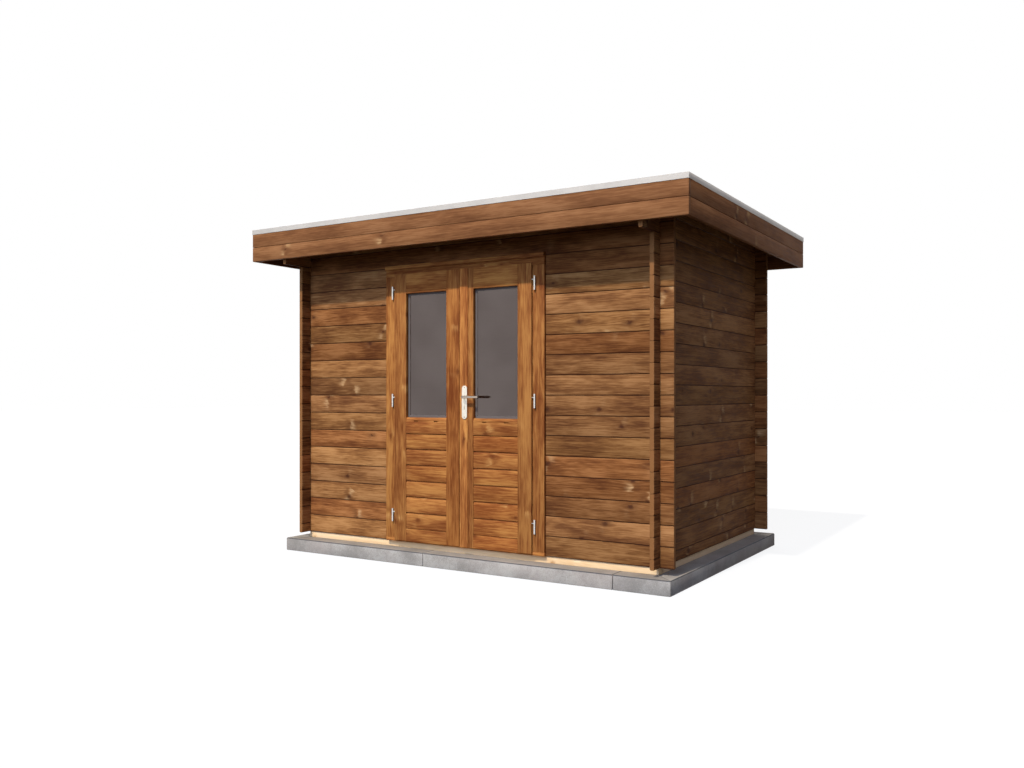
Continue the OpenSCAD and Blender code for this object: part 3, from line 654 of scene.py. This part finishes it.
def row_tree():
    """Repeats a shape along a line, with a tone and a shift of the grain for each copy."""
    tree = bpy.data.node_groups.new("board_row", "GeometryNodeTree")
    face = tree.interface
    sockets = {}
    for name, kind in (("Shape", "NodeSocketGeometry"), ("Count", "NodeSocketInt"),
                       ("Step", "NodeSocketVector"), ("Seed", "NodeSocketInt"),
                       ("Finish", "NodeSocketMaterial")):
        sockets[name] = face.new_socket(name, in_out="INPUT", socket_type=kind).identifier
    face.new_socket("Row", in_out="OUTPUT", socket_type="NodeSocketGeometry")

    def node(kind, **settings):
        made = tree.nodes.new(kind)
        for key, value in settings.items():
            setattr(made, key, value)
        return made

    def link(start, end):
        tree.links.new(start, end)

    start = node("NodeGroupInput")
    line = node("GeometryNodeMeshLine", mode="OFFSET")
    copies = node("GeometryNodeInstanceOnPoints")
    index = node("GeometryNodeInputIndex")
    shade = node("FunctionNodeRandomValue", data_type="FLOAT")
    shift = node("FunctionNodeRandomValue", data_type="FLOAT_VECTOR")
    shift.inputs[0].default_value = (-GRAIN_SHIFT, -GRAIN_SHIFT, 0.0)
    shift.inputs[1].default_value = (GRAIN_SHIFT, GRAIN_SHIFT, 0.0)
    keep_shade = node("GeometryNodeStoreNamedAttribute", data_type="FLOAT", domain="INSTANCE")
    keep_shade.inputs["Name"].default_value = "tone"
    keep_shift = node("GeometryNodeStoreNamedAttribute", data_type="FLOAT_VECTOR", domain="INSTANCE")
    keep_shift.inputs["Name"].default_value = "shift"
    real = node("GeometryNodeRealizeInstances")
    old_grain = node("GeometryNodeInputNamedAttribute", data_type="FLOAT_VECTOR")
    old_grain.inputs["Name"].default_value = "grain"
    old_shift = node("GeometryNodeInputNamedAttribute", data_type="FLOAT_VECTOR")
    old_shift.inputs["Name"].default_value = "shift"
    total = node("ShaderNodeVectorMath", operation="ADD")
    new_grain = node("GeometryNodeStoreNamedAttribute", data_type="FLOAT_VECTOR", domain="POINT")
    new_grain.inputs["Name"].default_value = "grain"
    finish = node("GeometryNodeSetMaterial")
    end = node("NodeGroupOutput")

    link(start.outputs["Count"], line.inputs["Count"])
    link(start.outputs["Step"], line.inputs["Offset"])
    link(line.outputs["Mesh"], copies.inputs["Points"])
    link(start.outputs["Shape"], copies.inputs["Instance"])
    link(index.outputs[0], shade.inputs["ID"])
    link(index.outputs[0], shift.inputs["ID"])
    link(start.outputs["Seed"], shade.inputs["Seed"])
    link(start.outputs["Seed"], shift.inputs["Seed"])
    link(copies.outputs["Instances"], keep_shade.inputs["Geometry"])
    link(shade.outputs[1], keep_shade.inputs["Value"])
    link(keep_shade.outputs["Geometry"], keep_shift.inputs["Geometry"])
    link(shift.outputs[0], keep_shift.inputs["Value"])
    link(keep_shift.outputs["Geometry"], real.inputs["Geometry"])
    link(real.outputs["Geometry"], new_grain.inputs["Geometry"])
    link(old_grain.outputs["Attribute"], total.inputs[0])
    link(old_shift.outputs["Attribute"], total.inputs[1])
    link(total.outputs["Vector"], new_grain.inputs["Value"])
    link(new_grain.outputs["Geometry"], finish.inputs["Geometry"])
    link(start.outputs["Finish"], finish.inputs["Material"])
    link(finish.outputs["Geometry"], end.inputs[0])
    return tree, sockets


ROW_TREE, ROW_SOCKETS = row_tree()


def row(name, shape, count, step, seed, finish):
    """Plain mesh of a shape that is repeated by the row tree."""
    holder = bpy.data.objects.new(name + "_maker", shape)
    bpy.context.collection.objects.link(holder)
    maker = holder.modifiers.new("row", "NODES")
    maker.node_group = ROW_TREE
    maker[ROW_SOCKETS["Count"]] = count
    maker[ROW_SOCKETS["Step"]] = step
    maker[ROW_SOCKETS["Seed"]] = seed
    maker[ROW_SOCKETS["Finish"]] = finish
    depsgraph = bpy.context.evaluated_depsgraph_get()
    mesh = bpy.data.meshes.new_from_object(holder.evaluated_get(depsgraph), depsgraph=depsgraph)
    holder.modifiers.remove(maker)
    bpy.data.objects.remove(holder)
    bpy.data.meshes.remove(shape)
    mesh.name = name
    return mesh


# Log walls


def crossing_notches(box_low, box_high, axis, foot, top):
    """Where a board crosses the other walls, and what stays of it there."""
    if axis == "X":
        left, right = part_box("left_wall"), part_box("right_wall")
        places = ((left[0][0], left[1][0]), (right[0][0], right[1][0]))
        low, high = box_low[0], box_high[0]
    else:
        front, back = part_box("front_wall_top"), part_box("back_wall")
        places = ((front[0][1], front[1][1]), (back[0][1], back[1][1]))
        low, high = box_low[1], box_high[1]
    return [(a, b, foot, top) for a, b in places if low < a and b < high]


def end_wall(node, seed):
    """Front or back wall, or a stretch of it: whole boards from the foot up."""
    low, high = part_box(node)
    foot = low[2]
    count = round((high[2] - low[2]) / BOARD_PITCH)
    quarter = BOARD_PITCH / 4
    notches = crossing_notches(low, high, "X", foot + quarter, foot + BOARD_PITCH - quarter)
    shape = log_board((low[0], high[0]), (low[1], high[1]), (foot, foot + BOARD_PITCH), "X", notches)
    mesh = row(node + "_boards", shape, count, (0.0, 0.0, BOARD_PITCH), seed, WALL_WOOD)
    piece(node + "_boards", mesh, "house", "wall_timber", node)


def side_wall_rows(node, name, foot, height, keep, count, seed, *nodes):
    """Boards of a side wall that share one height; keep is what stays of one in a crossing."""
    low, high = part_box(node)
    notches = crossing_notches(low, high, "Y", foot + keep[0], foot + keep[1])
    shape = log_board((low[1], high[1]), (low[0], high[0]), (foot, foot + height), "Y", notches)
    mesh = row(name, shape, count, (0.0, 0.0, BOARD_PITCH), seed, WALL_WOOD)
    piece(name, mesh, "house", "wall_timber", *nodes)


def side_wall(side, seed):
    """A half board at the foot, whole boards, and the top boards that run on under the eaves."""
    half = BOARD_PITCH / 2
    quarter = BOARD_PITCH / 4
    wall = side + "_wall"
    logs = side + "_top_logs"
    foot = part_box(wall)[0][2]
    count = round((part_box(wall)[1][2] - foot - half) / BOARD_PITCH)
    whole = (quarter, BOARD_PITCH - quarter)
    side_wall_rows(wall, wall + "_foot_board", foot, half, (0.0, quarter), 1, seed)
    side_wall_rows(wall, wall + "_boards", foot + half, BOARD_PITCH, whole, count, seed + 1, wall)
    logs_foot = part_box(logs)[0][2]
    side_wall_rows(logs, logs + "_board", logs_foot, BOARD_PITCH, whole, 1, seed + 2, logs)
    side_wall_rows(logs, logs + "_half_board", logs_foot + BOARD_PITCH, half, (quarter, half), 1, seed + 3)


def log_walls():
    """The four walls, board by board."""
    for node, seed in FRONT_SEEDS.items():
        end_wall(node, seed)
    end_wall("back_wall", BACK_SEED)
    side_wall("left", LEFT_SEED)
    side_wall("right", RIGHT_SEED)


# Base and floor

# Each side of the house, with the axes along, up and through its boards
SIDES = (("front", "XZY"), ("back", "XZY"), ("left", "YZX"), ("right", "YZX"))


def boards_between(node, name, count, slot, finish, seed):
    """Flat boards side by side in the space of a CAD node, running along X."""
    low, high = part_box(node)
    pitch = (high[1] - low[1]) / count
    shape = flat_board((low[0], high[0]), (low[1], low[1] + pitch - BOARD_GAP), (low[2], high[2]), finish)
    mesh = row(name, shape, count, (0.0, pitch, 0.0), seed, finish)
    piece(name, mesh, "house", slot, node)


def base():
    """Kerb, bearers, joists and floor."""
    for side, axes in SIDES:
        dressed(side + "_kerb", axes, CONCRETE, "house", "concrete", KERB_EDGE, shaded=on_slope)
    dressed("bearers", "XZY", BASE_WOOD, "house", "pale_timber", SAWN_EDGE)
    dressed("floor_joists", "XZY", BASE_WOOD, "house", "pale_timber", SAWN_EDGE)
    boards_between("floor_boards", "floor_planks", FLOOR_BOARDS, "floor_timber", FLOOR_WOOD, FLOOR_SEED)


# Roof


def fascia_tongue():
    """Tongue that closes the joint of the fascia boards, set back from their faces on all four sides."""
    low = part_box("front_fascia")[0]
    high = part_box("back_fascia")[1]
    middle = (low[2] + high[2]) / 2
    foot, top = middle - FASCIA_JOINT / 2, middle + FASCIA_JOINT / 2
    section = ((TONGUE_SET, foot), (TONGUE_SET + TONGUE_WIDTH, foot),
               (TONGUE_SET + TONGUE_WIDTH, top), (TONGUE_SET, top))
    bm = bmesh.new()
    grain = bm.verts.layers.float_vector.new("grain")
    joint = bm.verts.layers.float.new("joint")
    rings = []
    for x, in_x, y, in_y in ((low[0], 1, low[1], 1), (high[0], -1, low[1], 1),
                             (high[0], -1, high[1], -1), (low[0], 1, high[1], -1)):
        ring = []
        for reach, z in section:
            vert = bm.verts.new((x + in_x * reach, y + in_y * reach, z))
            vert[grain] = (vert.co.x + vert.co.y, z, reach)
            # The whole tongue takes the darker joint colour: painted shade in the set-back joint, with the
            # joint stain
            vert[joint] = 1.0
            ring.append(vert)
        rings.append(ring)
    close_round(bm, rings)
    piece("fascia_tongue", mesh_from(bm, "fascia_tongue", FASCIA_WOOD), "house", "fascia_timber")


def roof():
    """Deck and joists, membrane, fascias and the edge trim."""
    boards_between("roof_deck", "roof_planks", DECK_BOARDS, "roof_timber", ROOF_WOOD, DECK_SEED)
    dressed("roof_joists", "YZX", ROOF_WOOD, "house", "roof_timber", SAWN_EDGE)
    dressed("roof_edge_battens", "XZY", ROOF_WOOD, "house", "roof_timber", SAWN_EDGE)
    dressed("roof_membrane", "XYZ", ROOF_SHEET, "house", "membrane", METAL_EDGE)
    for side, axes in SIDES:
        dressed(side + "_fascia", axes, FASCIA_WOOD, "house", "fascia_timber", PLANED_EDGE)
    fascia_tongue()
    dressed("roof_edge_trim", "XZY", EDGE_METAL, "house", "roof_trim", METAL_EDGE)


# Door frame and leaves


def door_frame():
    """Jambs, head, sill, drip cap and the lower halves of the hinges."""
    dressed("door_jamb_left", "ZXY", DOOR_WOOD, "house", "frame_timber", PLANED_EDGE)
    dressed("door_jamb_right", "ZXY", DOOR_WOOD, "house", "frame_timber", PLANED_EDGE)
    dressed("door_head", "XZY", DOOR_WOOD, "house", "frame_timber", PLANED_EDGE)
    dressed("door_sill", "XZY", DOOR_WOOD, "house", "frame_timber", PLANED_EDGE)
    dressed("door_drip_cap", "XZY", DOOR_WOOD, "house", "frame_timber", PLANED_EDGE)
    dressed("frame_hinges", "ZXY", HINGE_METAL, "house", "hinge_steel", METAL_EDGE)


def glass_seal(body):
    """Seal tape round a pane, outside and inside, in the grey that the pane shows: a painted reflection laid
    over the reflection of the reveal.
    """
    low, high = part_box(body + "_glass")
    bm = bmesh.new()
    for face_y, out in ((low[1], -1.0), (high[1], 1.0)):
        section = ((0.0, 0.0), (SEAL_WIDTH, 0.0), (SEAL_WIDTH - SEAL_DEPTH, SEAL_DEPTH), (0.0, SEAL_DEPTH))
        rings = []
        for x, in_x, z, in_z in ((low[0], 1, low[2], 1), (high[0], -1, low[2], 1),
                                 (high[0], -1, high[2], -1), (low[0], 1, high[2], -1)):
            ring = []
            for across, rise in section:
                reach = GLASS_SEAT + across
                ring.append(bm.verts.new((x + in_x * reach, face_y + out * rise, z + in_z * reach)))
            rings.append(ring)
        close_round(bm, rings)
    piece(body + "_glass_seal", mesh_from(bm, body + "_glass_seal", GLASS_SEAL), body, "door_glass")


def panel_board(span, face, back, foot, pitch):
    """One board of a door panel, with its open joint at the foot."""
    groove = face + PANEL_JOINT_DEPTH
    head = foot + pitch
    section = ((groove, foot), (groove, foot + PANEL_JOINT), (face, foot + PANEL_JOINT),
               (face, head - PANEL_SLOPE), (groove, head), (back - PANEL_V, head),
               (back, head - PANEL_V), (back, foot + PANEL_V), (back - PANEL_V, foot))
    bm = bmesh.new()
    bridge(bm, [[bm.verts.new((x, y, z)) for y, z in section] for x in span])
    edges = [e for e in bm.edges if all(v.co.y in (face, back) for v in e.verts)
             and e.verts[0].co.z == e.verts[1].co.z]
    bmesh.ops.bevel(bm, geom=edges, offset=SAWN_EDGE, offset_type="OFFSET", segments=2, profile=0.5,
                    affect="EDGES", clamp_overlap=True)
    grain = bm.verts.layers.float_vector.new("grain")
    joint = bm.verts.layers.float.new("joint")
    for vert in bm.verts:
        vert[grain] = (vert.co.x, vert.co.z, vert.co.y)
        # Faces in the groove take the darker joint colour: joint stain and painted shade in the groove
        vert[joint] = 1.0 if groove - SAWN_EDGE < vert.co.y < back - PANEL_V + SAWN_EDGE else 0.0
    return mesh_from(bm, "panel_board", DOOR_WOOD)


def panel(body, seed):
    """Boarded panel of a leaf."""
    low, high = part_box(body + "_panel")
    pitch = (high[2] - low[2]) / PANEL_BOARDS
    shape = panel_board((low[0], high[0]), low[1], high[1], low[2], pitch)
    mesh = row(body + "_panel_boards", shape, PANEL_BOARDS, (0.0, 0.0, pitch), seed, DOOR_WOOD)
    piece(body + "_panel_boards", mesh, body, "door_timber", body + "_panel")


def leaf(side):
    """One door leaf: stiles, rails, panel, hinges and its sealed pane."""
    body = side + "_door"
    dressed(body + "_hinge_stile", "ZXY", DOOR_WOOD, body, "door_timber", PLANED_EDGE)
    dressed(body + "_lock_stile", "ZXY", DOOR_WOOD, body, "door_timber", PLANED_EDGE)
    dressed(body + "_rails", "XZY", DOOR_WOOD, body, "door_timber", PLANED_EDGE)
    panel(body, PANEL_SEEDS[side])
    dressed(body + "_hinges", "ZXY", HINGE_METAL, body, "hinge_steel", METAL_EDGE)
    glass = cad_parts[body + "_glass"]
    glass.data.materials.clear()
    glass.data.materials.append(PANE)
    glass_seal(body)


# Handle


def turned(bm, path, radii, sides=24):
    """Round bar along a level path, with a radius at each point."""
    rings = []
    last = len(path) - 1
    for k, (spot, radius) in enumerate(zip(path, radii)):
        ahead = (Vector(path[min(k + 1, last)]) - Vector(path[max(k - 1, 0)])).normalized()
        across = ahead.cross(Vector((0.0, 0.0, 1.0)))
        ring = []
        for step in range(sides):
            angle = 2 * math.pi * step / sides
            offset = across * math.cos(angle) + Vector((0.0, 0.0, 1.0)) * math.sin(angle)
            ring.append(bm.verts.new(Vector(spot) + offset * radius))
        rings.append(ring)
    bridge(bm, rings)


def lever_path(start, axis, x, tip, z, neck, arm):
    """Points and radii of a lever: neck out of the plate, a bend, and the arm to its round tip."""
    out = 1.0 if axis > start else -1.0
    path = [(x, start, z), (x, axis - out * LEVER_BEND, z)]
    radii = [neck, neck]
    for k in range(1, BEND_STEPS + 1):
        turn = math.radians(90.0 * k / BEND_STEPS)
        bent_x = x + LEVER_BEND * (1 - math.cos(turn))
        bent_y = axis - out * LEVER_BEND * (1 - math.sin(turn))
        path.append((bent_x, bent_y, z))
        radii.append(neck + (arm - neck) * k / BEND_STEPS)
    end = tip - arm
    path.append((end, axis, z))
    radii.append(arm)
    for k in range(1, BEND_STEPS):
        turn = math.radians(90.0 * k / BEND_STEPS)
        path.append((end + arm * math.sin(turn), axis, z))
        radii.append(arm * math.cos(turn))
    return path, radii


def lever():
    """Both levers, each swept in one bend, on their spindle."""
    low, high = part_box("lever_handle")
    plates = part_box("handle_plates")
    x = (plates[0][0] + plates[1][0]) / 2
    z = (low[2] + high[2]) / 2
    neck = (high[2] - low[2]) / 2
    arm = neck * LEVER_TAPER
    bm = bmesh.new()
    outside = (plates[0][1] - LEVER_PLAY, low[1] + neck)
    inside = (plates[1][1] + LEVER_PLAY, high[1] - neck)
    for start, axis in (outside, inside):
        path, radii = lever_path(start, axis, x, high[0], z, neck, arm)
        turned(bm, path, radii)
    turned(bm, [(x, plates[0][1], z), (x, plates[1][1], z)], [neck / 2, neck / 2])
    piece("lever_sweep", mesh_from(bm, "lever_sweep", LEVER_METAL), "lever", "lever_metal", "lever_handle")


def screw_shape(x, y, z, out):
    """Raised screw head at the top of a plate."""
    bm = bmesh.new()
    rings = []
    for share, rise in SCREW_PROFILE:
        ring = []
        for step in range(SCREW_SIDES):
            angle = 2 * math.pi * step / SCREW_SIDES
            ring.append(bm.verts.new((x + SCREW_RADIUS * share * math.cos(angle), y + out * rise,
                                      z + SCREW_RADIUS * share * math.sin(angle))))
        rings.append(ring)
    bridge(bm, rings)
    return mesh_from(bm, "screw", SCREW_METAL)


def stadium(x, z, size, steps=8):
    """Upright outline with round ends, round its middle."""
    radius = size[0] / 2
    rise = size[1] / 2 - radius
    outline = []
    for start, up in ((0.0, rise), (180.0, -rise)):
        for step in range(steps + 1):
            turn = math.radians(start + 180.0 * step / steps)
            outline.append((x + radius * math.cos(turn), z + up + radius * math.sin(turn)))
    return outline


def lock_core(x, front, back):
    """Core that fills the key slot from plate to plate, with a key slit at both ends."""
    lever_low, lever_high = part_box("lever_handle")
    z = (lever_low[2] + lever_high[2]) / 2 - KEY_BELOW
    bm = bmesh.new()
    rings = []
    for size, y in ((SLIT_SIZE, front + SLIT_DEPTH), (SLIT_SIZE, front), (CORE_SIZE, front),
                    (CORE_SIZE, back), (SLIT_SIZE, back), (SLIT_SIZE, back - SLIT_DEPTH)):
        rings.append([bm.verts.new((px, y, pz)) for px, pz in stadium(x, z, size)])
    bridge(bm, rings)
    mesh = mesh_from(bm, "lock_core", LOCK_METAL)
    piece("lock_core", mesh, "right_door", "handle_plate")


def fittings():
    """Screws of both plates, and the lock core in the key slot."""
    low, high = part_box("handle_plates")
    x = (low[0] + high[0]) / 2
    step = (0.0, 0.0, low[2] - high[2] + 2 * SCREW_IN)
    for name, y, out in (("outer_screws", low[1], -1.0), ("inner_screws", high[1], 1.0)):
        mesh = row(name, screw_shape(x, y, high[2] - SCREW_IN, out), 2, step, SCREW_SEED, SCREW_METAL)
        piece(name, mesh, "right_door", "handle_plate")
    lock_core(x, low[1], high[1])


def handle():
    """What the right leaf carries: cover strip, plates, lever, screws and lock core."""
    dressed("right_door_cover_strip", "ZXY", DOOR_WOOD, "right_door", "door_timber", SAWN_EDGE)
    dressed("handle_plates", "ZXY", PLATE_METAL, "right_door", "handle_plate", METAL_EDGE)
    lever()
    fittings()


# Stage, light and camera


def stage():
    """Pale floor that keeps a soft shadow: white where it is seen, dull in the light that it throws back."""
    s = Surface("studio_floor")
    path = s.node("ShaderNodeLightPath", {}).outputs
    seen = s.math("MAXIMUM", path["Is Camera Ray"], s.math("MAXIMUM", path["Is Glossy Ray"],
                                                           path["Is Transmission Ray"]))
    speck = s.noise(s.place(), 2.0, 2.0)
    pale = s.mix(speck, FLOOR_DULL, FLOOR_PALE)
    s.finish(Base_Color=s.mix(seen, FLOOR_BOUNCE, pale), Roughness=0.9)
    light = s.node("ShaderNodeEmission", {"Color": WHITE, "Strength": 1.0}).outputs[0]
    blend = s.node("ShaderNodeMixShader", {0: s.times(seen, FLOOR_GLOW), 1: s.shader.outputs[0], 2: light})
    output = s.tree.nodes["Material Output"]
    s.tree.links.new(blend.outputs[0], output.inputs["Surface"])

    bm = bmesh.new()
    below = Matrix.Translation((0.0, 0.0, -FLOOR_DROP))
    bmesh.ops.create_grid(bm, x_segments=8, y_segments=8, size=FLOOR_REACH, matrix=below)
    mesh = mesh_from(bm, "floor", s.material)
    floor = bpy.data.objects.new("floor", mesh)
    bpy.context.collection.objects.link(floor)


def sky():
    """White to the camera and in reflections, and a dim even light on everything else."""
    world = bpy.data.worlds.new("studio")
    world.use_nodes = True
    bpy.context.scene.world = world
    tree = world.node_tree
    background = tree.nodes["Background"]
    colour = tree.nodes.new("ShaderNodeMix")
    colour.data_type = "RGBA"
    colour.inputs[6].default_value = SKY_COLOUR
    colour.inputs[7].default_value = WHITE
    path = tree.nodes.new("ShaderNodeLightPath")
    seen = tree.nodes.new("ShaderNodeMath")
    seen.operation = "MAXIMUM"
    shown = tree.nodes.new("ShaderNodeMath")
    shown.operation = "MAXIMUM"
    strength = tree.nodes.new("ShaderNodeMapRange")
    strength.inputs["To Min"].default_value = SKY_STRENGTH
    strength.inputs["To Max"].default_value = 1.0
    tree.links.new(path.outputs["Is Camera Ray"], seen.inputs[0])
    tree.links.new(path.outputs["Is Glossy Ray"], seen.inputs[1])
    tree.links.new(seen.outputs[0], shown.inputs[0])
    tree.links.new(path.outputs["Is Transmission Ray"], shown.inputs[1])
    tree.links.new(shown.outputs[0], colour.inputs[0])
    tree.links.new(colour.outputs[2], background.inputs["Color"])
    tree.links.new(shown.outputs[0], strength.inputs["Value"])
    tree.links.new(strength.outputs[0], background.inputs["Strength"])


def lamp(name, direction, strength, angle, colour, mirrored):
    """Far-off light; a wide angle makes it soft. One that isn't mirrored stays out of reflections."""
    light = bpy.data.lights.new(name, "SUN")
    light.energy = strength
    light.angle = math.radians(angle)
    light.color = colour
    holder = bpy.data.objects.new(name, light)
    holder.rotation_euler = Vector(direction).to_track_quat("-Z", "Y").to_euler()
    holder.visible_glossy = mirrored
    bpy.context.collection.objects.link(holder)


def camera():
    """Level camera at the photo's place, with a small shift upwards."""
    lens = bpy.data.cameras.new("camera")
    lens.lens = CAMERA_LENS
    lens.sensor_width = CAMERA_SENSOR
    lens.shift_y = CAMERA_SHIFT
    holder = bpy.data.objects.new("camera", lens)
    holder.location = CAMERA_PLACE
    holder.rotation_euler = (math.radians(90.0), 0.0, math.radians(CAMERA_TURN))
    bpy.context.collection.objects.link(holder)
    bpy.context.scene.camera = holder


camera()
sky()
lamp("sun", SUN_DIRECTION, SUN_STRENGTH, SUN_ANGLE, SUN_COLOUR, True)
for fill, settings in FILLS.items():
    lamp(fill, *settings, False)
stage()
log_walls()
base()
roof()
door_frame()
leaf("left")
leaf("right")
handle()

bpy.context.scene.view_settings.view_transform = "Standard"
